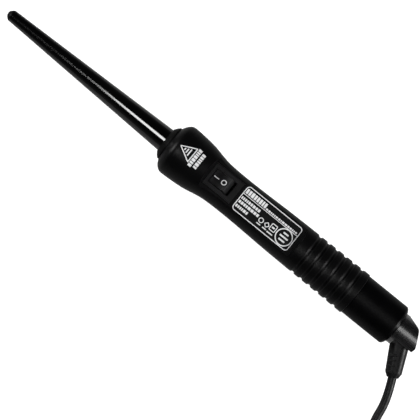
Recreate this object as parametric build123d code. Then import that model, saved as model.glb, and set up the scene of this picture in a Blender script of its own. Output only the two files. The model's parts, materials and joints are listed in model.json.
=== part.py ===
from build123d import *
from math import pi, radians, tan
import os

os.makedirs("parts", exist_ok=True)

# A tapered curling wand. Lengths are in millimetres. "Stations" are distances along the wand from a datum
# 0.4 mm behind the tip of its barrel; in that working frame the wand's axis is X, and +Z comes out of the
# switch panel. save() moves each piece to the part's own frame, whose origin is under the middle of the
# wand, on the surface that its widest ring stands on.

# ---- Driving dimensions ----

# Barrel: a tube that tapers from 18 mm at its root to 9 mm at its tip
TIP_START = -0.4
TIP_RADIUS = 4.4
TIP_DEPTH = 3.4
# (depth behind the tip, radius) points of its blunt dome
TIP_DOME = ((0.13, 1.3), (1.1, 2.85), (2.3, 3.85))
ROOT_RADIUS = 9.05
ROOT_STATION = 145.0
BARREL_WALL = 1.2
SPIGOT_LENGTH = 5.0
BARREL_INNER_END = 165.0

# Heater inside the barrel
HEATER_START = 42.0
HEATER_END = 128.0
SPREADER_FLAT = 1.5
STONE_LENGTH = 24.0
STONE_WIDTH = 5.6
STONE_THICKNESS = 2.0
STONE_COUNT = 3
STONE_PITCH = 28.0
ELECTRODE_THICKNESS = 0.3
FILM_THICKNESS = 0.15
SLIP_GAP = 0.02
TAIL_LENGTH = 5.0
TAIL_WIDTH = 2.4
FUSE_RADIUS = 2.0
FUSE_HEIGHT = 3.2
FUSE_START = 137.0
FUSE_END = 148.0
FUSE_LEAD_RADIUS = 0.45
SPREADER_GAP = 0.12

# Collar ring in front of the handle
COLLAR_FRONT_RADIUS = 9.9
COLLAR_BEVEL = ((146.8, 12.3), (148.0, 13.5))
COLLAR_RADIUS = 13.7
COLLAR_RIM_START = 148.3
COLLAR_BORE = 9.5
COLLAR_NECK_RADIUS = 13.4
COLLAR_FLANGE_START = 151.8
COLLAR_FLANGE_END = 153.3
COLLAR_FLANGE_RADIUS = 15.0

# Insulating ring and steel flange round the barrel's root
INSULATOR_START = 149.0
INSULATOR_END = 158.2
INSULATOR_RADIUS = 11.8
FLANGE_SLEEVE = (158.4, 164.6)
FLANGE_SLEEVE_WALL = 1.1
FLANGE_DISC = (160.2, 161.4)
FLANGE_RADIUS = 15.0

# Handle skin
HANDLE_START = 149.4
NOSE_RADIUS = 14.0
BULGE_STATION = 157.5
BULGE_RADIUS = 20.4
WAIST_STATION = 199.5
WAIST_RADIUS = 15.65
GRIP_START = 271.3
GRIP_RADIUS = 16.7
WALL = 2.1
# (station, radius) points of the skin from the nose to the bulge, and from the bulge to the grip
SHOULDER_PROFILE = (
    (HANDLE_START, NOSE_RADIUS),
    (151.1, 17.0),
    (153.4, 19.3),
    (BULGE_STATION, BULGE_RADIUS),
)
SKIN_PROFILE = (
    (BULGE_STATION, BULGE_RADIUS),
    (165.5, 20.05),
    (177.0, 18.85),
    (188.5, 16.5),
    (WAIST_STATION, WAIST_RADIUS),
    (237.0, 16.1),
    (GRIP_START, GRIP_RADIUS),
)
# Rings inside the shells that hold the flange, and the seam between the shells
RIB_BORE = 12.4
FRONT_RIB = (158.0, 160.1)
REAR_RIB = (161.5, 163.6)
SEAM_WIDTH = 0.24
SEAM_FLOOR = 1.2

# Grooves round the rear of the grip
GROOVE_COUNT = 6
GROOVE_FIRST = 275.0
GROOVE_PITCH = 7.57
GROOVE_HALF_WIDTH = 2.4
GROOVE_HALF_FLAT = 0.8
GROOVE_DEPTH = 0.95
LAST_RING_RADIUS = 17.1
LAST_RING_END = 319.8
LAST_RING_EDGE = 0.4

# Rear sleeve, over a thinner spigot of the two shells
SLEEVE_START = 320.6
SLEEVE_END = 357.2
SLEEVE_RADIUS = 16.25
SLEEVE_CHAMFER = 2.2
SPIGOT_RADIUS = 13.9
SPIGOT_END = 350.0
END_WALL = 4.0
# (station, radius) points of the hollow in the shells
CAVITY_PROFILE = (
    (HANDLE_START - 1, NOSE_RADIUS - 0.5),
    (151.6, NOSE_RADIUS - 0.5),
    (151.6, 15.3),
    (153.6, 16.6),
    (BULGE_STATION, BULGE_RADIUS - WALL),
    (166.0, 17.9),
    (177.0, 16.7),
    (188.5, 14.3),
    (WAIST_STATION, WAIST_RADIUS - WALL),
    (SLEEVE_START - 4, WAIST_RADIUS - WALL),
    (SLEEVE_START, SPIGOT_RADIUS - WALL + 0.1),
    (SPIGOT_END + 1, SPIGOT_RADIUS - WALL + 0.1),
)

# Flat panel with its slanted end walls
PANEL_HEIGHT = 11.4
PANEL_FRONT = 184.0
PANEL_REAR = 264.5
FRONT_WALL_SLANT = 2.1
FRONT_WALL_TOP = 17.9
REAR_WALL_SLANT = 1.6
PANEL_ROOF_MARGIN = 4.5
LABEL_LENGTH = 50.4
LABEL_WIDTH = 21.2
LABEL_STATION = 236.8
LABEL_CORNER = 2.6
LABEL_THICKNESS = 0.2

# Rocker switch
BEZEL_LENGTH = 24.6
BEZEL_WIDTH = 17.8
BEZEL_THICKNESS = 1.2
BEZEL_GAP = 0.4
BEZEL_STATION = 196.8
ROCKER_STATION = 195.85
OPENING_LENGTH = 18.0
ROCKER_WIDTH = 10.9
ROCKER_GAP = 0.45
HOUSING_LENGTH = 21.0
HOUSING_WIDTH = 13.2
HOUSING_DEPTH = 15.4
HOUSING_WALL = 0.7
PIVOT_DEPTH = 7.0
PIVOT_RADIUS = 1.2
PIVOT_SLACK = 0.05
ROCKER_TILT = 15.0
# The paddle's outline from the side, counted from its pin: dished top, slanted ends and a stem
ROCKER_TOP = ((-6.6, 9.05), (0, 8.2), (6.6, 9.05))
ROCKER_SIDES = ((6.6, 9.05), (8.5, 3.6), (7.2, 2.2), (2.6, 1.4), (2.2, -1.6),
                (-2.2, -1.6), (-2.6, 1.4), (-7.2, 2.2), (-8.5, 3.6), (-6.6, 9.05))
PLUNGER_RADIUS = 1.15
WELL_RADIUS = 1.3
SPRING_RADIUS = 1.1
BARB_WIDTH = 6.0
LEVER_TILT = 7.5
LEVER_DEPTH = 12.4
LEVER_LENGTH = 13.0
LEVER_THICKNESS = 0.5
CONTACT_OFFSET = 5.5
BLADE_WIDTH = 4.8
BLADE_THICKNESS = 0.8
BLADE_LENGTH = 7.0
CONTACT_RADIUS = 1.2
BOOT_WIDTH = 6.4
BOOT_THICKNESS = 2.6
BOOT_LENGTH = 5.8

# Wires inside the handle
WIRE_RADIUS = 0.9
CONNECTOR_HEIGHT = PANEL_HEIGHT - HOUSING_DEPTH - BLADE_LENGTH + 2.6

# Screws that hold the shells together
SCREW_STATIONS = (172.5, 236.0)
SCREW_DEPTHS = (18.0, 14.6)
BOSS_RADIUS = 3.4
SCREW_RADIUS = 1.4
SCREW_TIP = 7.5
HEAD_RADIUS = 2.7
HEAD_HEIGHT = 1.8
HEAD_SEAT = 3.7
CROSS_LENGTH = 3.2
CROSS_WIDTH = 0.7

# Cord swivel: an elbow-shaped cap that turns about the handle's axis
CAP_FRONT = 357.9
CAP_DISC = 3.1
CAP_RADIUS = 12.4
CAP_END = 376.7
NECK_RADIUS = 9.0
NECK_START = 349.5
NECK_BORE = 5.4
RETAINER_START = 351.2
RETAINER_THICKNESS = 1.6
RETAINER_RADIUS = 11.2
GROOVE_FLOOR = 7.6
RUNNING_CLEARANCE = 0.06
# The elbow's outline seen along Z, as (station, y) points behind the cap's disc
HOOD_TOP = (370.6, 9.1)
HOOD_TIP = -3.8
HOOD_HEEL = -7.2
HOOD_ROUND = 5.0
HOOD_NOSE_ROUND = 2.8
ELBOW_STATION = 363.2
EXIT_ANGLE = 63.0
EXIT_DROP = 12.0
RELIEF_ROOT_START = 4.5
RELIEF_ROOT_END = 8.5
RELIEF_END = 33.5
RELIEF_ROOT = (14.8, 11.4)
RELIEF_WIDTH = 14.0
RELIEF_THICKNESS = 10.4
RELIEF_STEM = 3.5
RELIEF_TIP_WIDTH = 12.2
RELIEF_TIP_THICKNESS = 9.2
RELIEF_NOSE = 3.5
RELIEF_NOSE_WIDTH = 8.6
RELIEF_NOSE_THICKNESS = 7.8
RELIEF_SLOTS = 4
RELIEF_SLOT_FIRST = 17.2
RELIEF_SLOT_PITCH = 4.0
RELIEF_SLOT = (1.7, 5.4)
RELIEF_SLOT_FLOOR = 3.0
RELIEF_SLOT_MIDDLE = -3.2
RELIEF_LINE = (1.0, 20.0)
CORE_RADIUS = 1.0
CORE_SPACING = 1.8

# Slip rings between the turning neck and the handle
BRUSH_DISC = (338.5, 343.5)
BRUSH_START = 337.8
BRUSH_END = 346.9
BRUSH_RADIUS = 1.2
OUTER_BRUSH = 5.5
RING_START = 347.1
RING_END = 347.7
CENTRE_RING = 2.2
OUTER_RING = (4.2, 6.8)

# Cord, in the part's own frame: hand-chosen points from the strain relief to the coil
CORD_RADIUS = 3.25
FLOOR_RIDE = 3.3
CORD_ROUTE = (
    (190.26, -29.20, 14.19),
    (197.52, -43.14, 11.23),
    (200.05, -62.30, 6.80),
    (208.05, -81.50, 3.85),
    (222.80, -95.40, FLOOR_RIDE),
    (243.20, -102.60, FLOOR_RIDE),
    (263.00, -104.60, FLOOR_RIDE),
)
COIL_X = 276.85
COIL_Y = -60.0
COIL_RADIUS = 37.0
TURN_PITCH = 6.65
COIL_BOTTOM = 0.05
COIL_TOP = 23.9
TIE_ANGLE = 135.0
TIE_WIDTH = 12.0
TIE_THICKNESS = 0.8
TIE_SQUEEZE = 0.6
# From the top of the coil to the plug, counted from the coil's centre
CORD_TAIL = (
    (1.50, -41.60, 20.60),
    (14.80, -40.20, 22.60),
    (26.30, -32.40, 26.60),
    (31.60, -21.60, 30.20),
    (32.00, -11.00, 31.00),
)

# Two-pin plug, lying on the coil with its pins towards +Y
PLUG_THICKNESS = 13.7
PLUG_WIDTH = 35.3
PLUG_REAR_WIDTH = 13.0
PLUG_LENGTH = 36.0
PLUG_RELIEF_LENGTH = 17.0
PLUG_RELIEF_RADII = (4.3, 5.6)
PLUG_GROOVES = 4
PLUG_GROOVE_FIRST = 3.0
PLUG_GROOVE_PITCH = 3.6
PLUG_GROOVE_WIDTH = 1.4
PLUG_ROUND = 2.2
PLUG_WAIST = 12.0
PLUG_SHOULDER = 25.0
PIN_SPACING = 19.0
PIN_RADIUS = 2.0
PIN_LENGTH = 19.0
PIN_ROUND = 1.2
PIN_SLEEVE_LENGTH = 10.0
PIN_SLEEVE_RADIUS = 1.8

# ---- Frames ----

TO_ROW = Pos(-(TIP_START + CAP_END) / 2, 0, BULGE_RADIUS)
SWITCH = Pos(ROCKER_STATION, 0, PANEL_HEIGHT)
CAP = Rot(EXIT_DROP, 0, 0)
EXIT = CAP * Pos(ELBOW_STATION, 0, 0) * Rot(0, 0, -EXIT_ANGLE)
COIL = Pos(COIL_X, COIL_Y, 0)


def save(node, shape, place=TO_ROW):
    """Write one node's STEP file in the part's own frame."""
    export_step(place * shape, f"parts/{node}.step")


# ---- Shapes used again and again ----

def rod(start, end, radius, y=0.0, z=0.0):
    """A round bar along the wand from one station to another."""
    return Pos((start + end) / 2, y, z) * Rot(0, 90, 0) * Cylinder(radius, end - start)


def tube(start, end, outer, inner):
    """A ring or tube along the wand."""
    return rod(start, end, outer) - rod(start - 1, end + 1, inner)


def turned(points):
    """A solid of revolution about the wand's axis from (station, radius) points."""
    return revolve(make_face(Polyline(*points, close=True)), Axis.X)


def block(x0, x1, width, z0, z1, y=0.0):
    """A box between two stations and two heights, centred on y."""
    return Pos((x0 + x1) / 2, y, (z0 + z1) / 2) * Box(x1 - x0, width, z1 - z0)


def wire(points, radius, corner):
    """A round wire through the points, with the same radius at each corner."""
    path = FilletPolyline(*points, radius=corner)
    return sweep((path ^ 0) * Circle(radius), path)


def upper_half(shape):
    return split(shape, bisect_by=Plane.XY, keep=Keep.TOP)


def lower_half(shape):
    return split(shape, bisect_by=Plane.XY, keep=Keep.BOTTOM)


# ---- Barrel ----

def barrel_radius(station):
    """The barrel's outer radius, which grows evenly from the tip to the root."""
    tip = TIP_START + TIP_DEPTH
    share = (station - tip) / (ROOT_STATION - tip)
    return TIP_RADIUS + share * (ROOT_RADIUS - TIP_RADIUS)


def barrel_shell():
    inner_tip = TIP_RADIUS - BARREL_WALL
    inner_root = ROOT_RADIUS - BARREL_WALL
    tip = TIP_START + TIP_DEPTH
    return turned([
        (tip, inner_tip),
        (tip, TIP_RADIUS),
        (ROOT_STATION, ROOT_RADIUS),
        (BARREL_INNER_END, ROOT_RADIUS),
        (BARREL_INNER_END, inner_root),
        (ROOT_STATION, inner_root),
    ])


def barrel_tip_plug():
    """A domed end with a spigot that presses into the tube."""
    rim = TIP_START + TIP_DEPTH
    bends = [(TIP_START + depth, radius) for depth, radius in TIP_DOME]
    dome = Spline((TIP_START, 0), *bends, (rim, TIP_RADIUS), tangents=((0, 1), (1, 0.2)))
    spigot_radius = TIP_RADIUS - BARREL_WALL - SLIP_GAP
    spigot_end = rim + SPIGOT_LENGTH
    section = Polyline(
        (rim, TIP_RADIUS),
        (rim, spigot_radius),
        (spigot_end, spigot_radius),
        (spigot_end, 0),
        (TIP_START, 0),
    )
    return revolve(make_face(dome + section), Axis.X)


def heat_spreader():
    """The half-round that carries heat from the stones to the tube, flat side down."""
    gap = BARREL_WALL + SPREADER_GAP
    cone = turned([
        (HEATER_START, 0),
        (HEATER_START, barrel_radius(HEATER_START) - gap),
        (HEATER_END, barrel_radius(HEATER_END) - gap),
        (HEATER_END, 0),
    ])
    return cone & block(HEATER_START - 1, HEATER_END + 1, 30, SPREADER_FLAT, 20)


def stone_start(index):
    """The station where a heater stone begins, the row being centred in the spreaders."""
    row_length = (STONE_COUNT - 1) * STONE_PITCH + STONE_LENGTH
    return (HEATER_START + HEATER_END - row_length) / 2 + index * STONE_PITCH


def ptc_heater_stones():
    half = STONE_THICKNESS / 2
    stones = [block(stone_start(i), stone_start(i) + STONE_LENGTH, STONE_WIDTH, -half, half)
              for i in range(STONE_COUNT)]
    return Part() + stones


def electrode_plates():
    """One plate above and one below the stones, each with a narrow tail for its lead."""
    plates = Part()
    for side in (1, -1):
        inner = side * STONE_THICKNESS / 2
        outer = inner + side * ELECTRODE_THICKNESS
        low = min(inner, outer)
        high = max(inner, outer)
        plates += block(HEATER_START + 1, HEATER_END - 1, STONE_WIDTH, low, high)
        plates += block(HEATER_END - 1, HEATER_END + TAIL_LENGTH, TAIL_WIDTH, low, high)
    return plates


def insulation_film():
    """A thin film wrapped round the stones and their plates."""
    inside = STONE_THICKNESS / 2 + ELECTRODE_THICKNESS + SLIP_GAP
    inner_width = STONE_WIDTH + 2 * SLIP_GAP
    wrap = block(HEATER_START, HEATER_END, inner_width + 2 * FILM_THICKNESS,
                 -inside - FILM_THICKNESS, inside + FILM_THICKNESS)
    return wrap - block(HEATER_START - 1, HEATER_END + 1, inner_width, -inside, inside)


def thermal_fuse():
    """A fuse in a round case whose front lead is joined to the upper plate's tail."""
    tail_height = STONE_THICKNESS / 2 + ELECTRODE_THICKNESS + 0.5
    lead = wire([
        (HEATER_END + 2, 0, tail_height),
        (HEATER_END + 5, 0, tail_height),
        (FUSE_START - 1.5, 0, FUSE_HEIGHT),
        (FUSE_START + 0.5, 0, FUSE_HEIGHT),
    ], FUSE_LEAD_RADIUS, 0.6)
    return rod(FUSE_START, FUSE_END, FUSE_RADIUS, z=FUSE_HEIGHT) + lead


def barrel_flange():
    """A pressed-steel ring on the barrel's root, which the two shells clamp."""
    bore = ROOT_RADIUS + SLIP_GAP
    sleeve = tube(*FLANGE_SLEEVE, ROOT_RADIUS + FLANGE_SLEEVE_WALL, bore)
    disc = tube(*FLANGE_DISC, FLANGE_RADIUS, bore)
    return sleeve + disc


def heat_insulator():
    return tube(INSULATOR_START, INSULATOR_END, INSULATOR_RADIUS, ROOT_RADIUS + 0.15)


def barrel_collar():
    """The bevelled ring, with a neck through the handle's mouth and a flange behind it."""
    rim_end = HANDLE_START - 0.1
    seat = INSULATOR_START - 0.2
    return turned([
        (ROOT_STATION, COLLAR_BORE),
        (ROOT_STATION, COLLAR_FRONT_RADIUS),
        *COLLAR_BEVEL,
        (COLLAR_RIM_START, COLLAR_RADIUS),
        (rim_end, COLLAR_RADIUS),
        (rim_end, COLLAR_NECK_RADIUS),
        (COLLAR_FLANGE_START, COLLAR_NECK_RADIUS),
        (COLLAR_FLANGE_START, COLLAR_FLANGE_RADIUS),
        (COLLAR_FLANGE_END, COLLAR_FLANGE_RADIUS),
        (COLLAR_FLANGE_END, INSULATOR_RADIUS + 0.1),
        (seat, INSULATOR_RADIUS + 0.1),
        (seat, COLLAR_BORE),
    ])


# ---- Handle shells ----

def ring_radius(station):
    """The rings between the grooves grow a little towards the rear."""
    share = (station - GRIP_START) / (LAST_RING_END - GRIP_START)
    return GRIP_RADIUS + share * (LAST_RING_RADIUS - GRIP_RADIUS)


def handle_solid():
    """The outside of both shells together, as one turned solid with soft-edged grooves."""
    shoulder = Spline(*SHOULDER_PROFILE, tangents=((1, 1.9), (1, 0)))
    skin = Spline(*SKIN_PROFILE, tangents=((1, 0), (1, 0.01)))
    edges = [shoulder, skin]
    last = (GRIP_START, GRIP_RADIUS)
    for index in range(GROOVE_COUNT):
        middle = GROOVE_FIRST + index * GROOVE_PITCH
        floor = ring_radius(middle) - GROOVE_DEPTH
        near = (middle - GROOVE_HALF_WIDTH, ring_radius(middle - GROOVE_HALF_WIDTH))
        far = (middle + GROOVE_HALF_WIDTH, ring_radius(middle + GROOVE_HALF_WIDTH))
        bottom = ((middle - GROOVE_HALF_FLAT, floor), (middle + GROOVE_HALF_FLAT, floor))
        edges.append(Line(last, near))
        edges.append(Spline(near, *bottom, far, tangents=((1, 0), (1, 0))))
        last = far
    edges.append(Polyline(
        last,
        (LAST_RING_END - LAST_RING_EDGE, LAST_RING_RADIUS),
        (LAST_RING_END, LAST_RING_RADIUS - LAST_RING_EDGE),
        (LAST_RING_END, SPIGOT_RADIUS),
        (SPIGOT_END, SPIGOT_RADIUS),
        (SPIGOT_END, 0),
        (HANDLE_START, 0),
        (HANDLE_START, NOSE_RADIUS),
    ))
    return revolve(make_face(edges), Axis.X)


def handle_cavity():
    """The hollow inside the shells, open at both ends and flat under the panel."""
    hollow = cavity_outline(0)
    panel_roof = block(PANEL_FRONT - PANEL_ROOF_MARGIN, PANEL_REAR + PANEL_ROOF_MARGIN, 60,
                       PANEL_HEIGHT - WALL, 40)
    return hollow - panel_roof


def cavity_outline(extra):
    """The hollow's turned shape, with something added to its radius."""
    wall = [(station, radius + extra) for station, radius in CAVITY_PROFILE]
    return turned([(HANDLE_START - 1, 0), *wall, (SPIGOT_END + 1, 0)])


def seam():
    """A shallow groove along the joint between the two shells."""
    half = SEAM_WIDTH / 2
    return block(HANDLE_START, LAST_RING_END, 60, -half, half) - cavity_outline(SEAM_FLOOR)


def panel_cut():
    """What is taken off the handle to leave the flat panel between its slanted end walls."""
    top = BULGE_RADIUS + 1
    rise = top - PANEL_HEIGHT
    front_run = FRONT_WALL_SLANT * rise / (FRONT_WALL_TOP - PANEL_HEIGHT)
    rear_run = REAR_WALL_SLANT * rise / (GRIP_RADIUS - PANEL_HEIGHT)
    side = make_face(Polyline(
        (PANEL_FRONT, PANEL_HEIGHT),
        (PANEL_FRONT - front_run, top),
        (PANEL_REAR + rear_run, top),
        (PANEL_REAR, PANEL_HEIGHT),
        close=True,
    ))
    return extrude(Plane.XZ * side, amount=30, both=True)


def flange_ribs():
    """Two rings inside the shells with a groove between them for the barrel's flange."""
    outside = BULGE_RADIUS - WALL + 0.4
    return tube(*FRONT_RIB, outside, RIB_BORE) + tube(*REAR_RIB, outside, RIB_BORE)


def screw_boss(station, low, high):
    return Pos(station, 0, (low + high) / 2) * Cylinder(BOSS_RADIUS, high - low)


def handle_upper_shell():
    shell = upper_half(handle_solid() - handle_cavity()) + upper_half(flange_ribs())
    shell -= panel_cut() + seam()
    front, rear = SCREW_STATIONS
    shell += screw_boss(front, 0, 18.0) + screw_boss(rear, 0, PANEL_HEIGHT - 1)
    for station in SCREW_STATIONS:
        shell -= Pos(station, 0, 3.9) * Cylinder(SCREW_RADIUS + 0.03, 8.2)
    recess = Box(BEZEL_LENGTH + 2 * BEZEL_GAP, BEZEL_WIDTH + 2 * BEZEL_GAP, 2 * BEZEL_THICKNESS)
    shell -= Pos(BEZEL_STATION, 0, PANEL_HEIGHT) * recess
    shell -= SWITCH * Box(HOUSING_LENGTH + 0.2, HOUSING_WIDTH + 0.2, 20)
    return shell


def handle_lower_shell():
    shell = lower_half(handle_solid() - handle_cavity()) + lower_half(flange_ribs())
    shell -= seam()
    for station, depth in zip(SCREW_STATIONS, SCREW_DEPTHS):
        shell += screw_boss(station, -depth, 0)
        shell -= Pos(station, 0, -10) * Cylinder(SCREW_RADIUS + 0.3, 22)
        shell -= Pos(station, 0, -depth - 0.3) * Cylinder(HEAD_RADIUS + 0.3, 8)
    return shell


def handle_screws():
    """Two pan-head screws put in from below, each with a cross recess."""
    screws = Part()
    cross = Box(CROSS_LENGTH, CROSS_WIDTH, HEAD_HEIGHT) + Box(CROSS_WIDTH, CROSS_LENGTH, HEAD_HEIGHT)
    for station, depth in zip(SCREW_STATIONS, SCREW_DEPTHS):
        seat = HEAD_SEAT - depth
        head = Pos(station, 0, seat - HEAD_HEIGHT / 2) * Cylinder(HEAD_RADIUS, HEAD_HEIGHT)
        head -= Pos(station, 0, seat - HEAD_HEIGHT) * cross
        shank = Pos(station, 0, (seat + SCREW_TIP) / 2) * Cylinder(SCREW_RADIUS, SCREW_TIP - seat)
        screws += head + shank
    return screws


def rear_sleeve():
    """A cup over the shells' spigot, with a bearing hole for the swivel's neck in its end."""
    inside_end = SLEEVE_END - END_WALL
    return turned([
        (SLEEVE_START - 0.7, SPIGOT_RADIUS + 0.05),
        (SLEEVE_START - 0.7, SLEEVE_RADIUS - 0.3),
        (SLEEVE_START - 0.4, SLEEVE_RADIUS),
        (SLEEVE_END - SLEEVE_CHAMFER, SLEEVE_RADIUS),
        (SLEEVE_END - SLEEVE_CHAMFER / 2, SLEEVE_RADIUS - 0.7),
        (SLEEVE_END, SLEEVE_RADIUS - 2.4),
        (SLEEVE_END, NECK_RADIUS + RUNNING_CLEARANCE),
        (inside_end, NECK_RADIUS + RUNNING_CLEARANCE),
        (inside_end, SPIGOT_RADIUS + 0.05),
    ])


def rating_label():
    outline = RectangleRounded(LABEL_LENGTH, LABEL_WIDTH, LABEL_CORNER)
    return Pos(LABEL_STATION, 0, PANEL_HEIGHT) * extrude(outline, amount=LABEL_THICKNESS)


# ---- Rocker switch, measured from the panel at the middle of the rocker ----

def switch_housing():
    shift = BEZEL_STATION - ROCKER_STATION
    bezel = block(shift - BEZEL_LENGTH / 2, shift + BEZEL_LENGTH / 2, BEZEL_WIDTH, -BEZEL_THICKNESS, 0)
    half = HOUSING_LENGTH / 2
    case = block(-half, half, HOUSING_WIDTH, -HOUSING_DEPTH, -BEZEL_THICKNESS)
    barbs = Part()
    for side in (1, -1):
        middle = side * (half + 0.2)
        barbs += block(middle - 0.4, middle + 0.4, BARB_WIDTH, -5.0, -WALL - 1.4)
    room = block(-half + HOUSING_WALL, half - HOUSING_WALL, HOUSING_WIDTH - 2 * HOUSING_WALL,
                 1 - HOUSING_DEPTH, -BEZEL_THICKNESS)
    mouth = Box(OPENING_LENGTH, ROCKER_WIDTH + 2 * ROCKER_GAP, 3 * BEZEL_THICKNESS)
    pivot_hole = Pos(0, 0, -PIVOT_DEPTH) * Rot(90, 0, 0) * Cylinder(PIVOT_RADIUS + PIVOT_SLACK, 30)
    return SWITCH * (bezel + case + barbs - room - mouth - pivot_hole) - switch_terminals(0.04)


def rocker_button():
    """A dished paddle with slanted ends, tipped about its cross pin so that its front is down."""
    side = make_face(ThreePointArc(*ROCKER_TOP) + Polyline(*ROCKER_SIDES))
    paddle = extrude(Plane.XZ * side, amount=ROCKER_WIDTH / 2, both=True)
    paddle = fillet(paddle.edges().filter_by(Axis.Y).sort_by(Axis.Z)[-2:], 0.5)
    pin = Rot(90, 0, 0) * Cylinder(PIVOT_RADIUS, HOUSING_WIDTH - 0.2)
    well = Pos(0, 0, 0.2) * Cylinder(WELL_RADIUS, 4)
    return rocker_place() * (paddle + pin - well)


def rocker_place():
    """The rocker's own frame at rest: its pin's centre, tipped to the front."""
    return SWITCH * Pos(0, 0, -PIVOT_DEPTH) * Rot(0, -ROCKER_TILT, 0)


def rocker_plunger():
    """The sprung pin in the rocker that throws the contact lever over."""
    shank = Pos(0, 0, -3.0) * Cylinder(PLUNGER_RADIUS, 3.0)
    nose = Pos(0, 0, -4.5) * Sphere(PLUNGER_RADIUS)
    room = Pos(0, 0, -3.2) * Box(5, 5, 3.6)
    return rocker_place() * ((shank + nose) & room)


def plunger_spring():
    """The spring's outer shape, between the well's roof and the plunger."""
    return rocker_place() * (Pos(0, 0, 0.3) * (Cylinder(SPRING_RADIUS, 3.4) - Cylinder(0.7, 4)))


def contact_lever():
    """A brass see-saw with a contact dimple at its rear end, tipped to the rear."""
    strip = Box(LEVER_LENGTH, 4.0, LEVER_THICKNESS)
    dimple = Pos(CONTACT_OFFSET, 0, -0.1) * Cylinder(1.0, LEVER_THICKNESS + 0.2)
    return SWITCH * Pos(0, 0, -LEVER_DEPTH) * Rot(0, LEVER_TILT, 0) * (strip + dimple)


def switch_terminals(margin=0.0):
    """The saddle under the lever and the fixed contact at the rear, each on its own blade."""
    floor_top = 1 - HOUSING_DEPTH
    foot = -HOUSING_DEPTH - BLADE_LENGTH
    terminals = Part()
    for offset in (0.0, CONTACT_OFFSET):
        half = BLADE_THICKNESS / 2 + margin
        terminals += block(offset - half, offset + half, BLADE_WIDTH + 2 * margin, foot, floor_top)
    terminals += block(-0.3, 0.3, 4.0, floor_top, -LEVER_DEPTH - LEVER_THICKNESS / 2 - 0.15)
    terminals += Pos(CONTACT_OFFSET, 0, floor_top + 0.2) * Cylinder(CONTACT_RADIUS, 0.4)
    return SWITCH * terminals


def spade_connectors():
    """Flag connectors pushed on the two blades."""
    foot = -HOUSING_DEPTH - BLADE_LENGTH - 0.2
    half = BOOT_THICKNESS / 2
    boots = Part()
    for offset in (0.0, CONTACT_OFFSET):
        boots += block(offset - half, offset + half, BOOT_WIDTH, foot, foot + BOOT_LENGTH)
    return SWITCH * boots - switch_terminals(0.02)


# ---- Wiring in the handle ----

def wire_supply_live():
    start = ROCKER_STATION + CONTACT_OFFSET + BOOT_THICKNESS / 2
    return wire([
        (start, 0, CONNECTOR_HEIGHT),
        (start + 6, 0.5, CONNECTOR_HEIGHT),
        (start + 16, 8, -6.5),
        (300, 8.5, -5),
        (330, 6.5, -1),
        (BRUSH_START, OUTER_BRUSH, 0),
    ], WIRE_RADIUS, 3.0)


def wire_switched_live():
    return wire([
        (ROCKER_STATION - BOOT_THICKNESS / 2, 0, CONNECTOR_HEIGHT),
        (188.5, 0.6, CONNECTOR_HEIGHT),
        (181, 7.5, -6.5),
        (169, 7.0, -3),
        (157, 2.5, 2.4),
        (FUSE_END, 0, FUSE_HEIGHT),
    ], WIRE_RADIUS, 3.0)


def wire_neutral():
    tail_height = -STONE_THICKNESS / 2 - ELECTRODE_THICKNESS - WIRE_RADIUS
    return wire([
        (HEATER_END + 1.5, 0, tail_height),
        (HEATER_END + 14, -0.5, tail_height - 0.6),
        (160, -3.0, -3),
        (176, -8.5, -5.5),
        (300, -8.5, -5),
        (328, -3.0, -1.5),
        (BRUSH_START, 0, 0),
    ], WIRE_RADIUS, 4.0)


# ---- Cord swivel ----

def brush_holder():
    """A disc clamped in the shells' rear end, which carries the two fixed contacts."""
    disc = rod(*BRUSH_DISC, SPIGOT_RADIUS - WALL + 0.05)
    return disc - brush_contacts(0.03)


def brush_contacts(margin=0.0):
    """Two sprung contact pins, one on the axis and one that runs on the outer ring."""
    return Part() + [rod(BRUSH_START, BRUSH_END, BRUSH_RADIUS + margin, y=y) for y in (0, OUTER_BRUSH)]


def slip_rings():
    """A centre disc and a ring of brass on the turning carrier's face."""
    inner, outer = OUTER_RING
    return Part() + [rod(RING_START, RING_END, CENTRE_RING), tube(RING_START, RING_END, outer, inner)]


def slip_ring_carrier():
    return rod(RING_END, NECK_START, NECK_RADIUS - 0.5)


def swivel_retainer():
    """A split ring in the neck's groove that keeps the swivel in the sleeve."""
    end = RETAINER_START + RETAINER_THICKNESS
    ring = tube(RETAINER_START, end, RETAINER_RADIUS, GROOVE_FLOOR + 0.05)
    return ring - block(RETAINER_START - 1, end + 1, 30, 0, 1.6, y=15)


def hood():
    """The elbow: a round bar cut to the outline that bends from the axis to the cord's exit."""
    front = CAP_FRONT + CAP_DISC
    outline = Polyline(
        (CAP_FRONT, 0),
        (CAP_FRONT, CAP_RADIUS + 0.2),
        (front, CAP_RADIUS - 0.3),
        HOOD_TOP,
        (CAP_END + 0.1, HOOD_TIP),
        (CAP_END - 0.6, HOOD_HEEL),
        (front, HOOD_HEEL),
        (front, 0),
        close=True,
    )
    face = make_face(outline)
    face = fillet(face.vertices().sort_by_distance((*HOOD_TOP, 0))[0], HOOD_ROUND)
    face = fillet(face.vertices().sort_by(Axis.X)[-1], HOOD_NOSE_ROUND)
    return extrude(face, amount=20, both=True) & rod(CAP_FRONT, CAP_END + 1, CAP_RADIUS)


def relief_socket():
    """Room in the cap for the strain relief's root and the mouth that it comes out of."""
    local = Pos(ELBOW_STATION, 0, 0) * Rot(0, 0, -EXIT_ANGLE)
    width, thickness = RELIEF_ROOT
    half = thickness / 2 + 0.1
    root = block(RELIEF_ROOT_START - 0.1, RELIEF_ROOT_END + 0.1, width + 0.2, -half, half)
    mouth = extrude(Plane.YZ.offset(RELIEF_ROOT_END) * SlotOverall(
        RELIEF_WIDTH + 0.3, RELIEF_THICKNESS + 0.3), amount=20)
    return local * (root + mouth)


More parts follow.
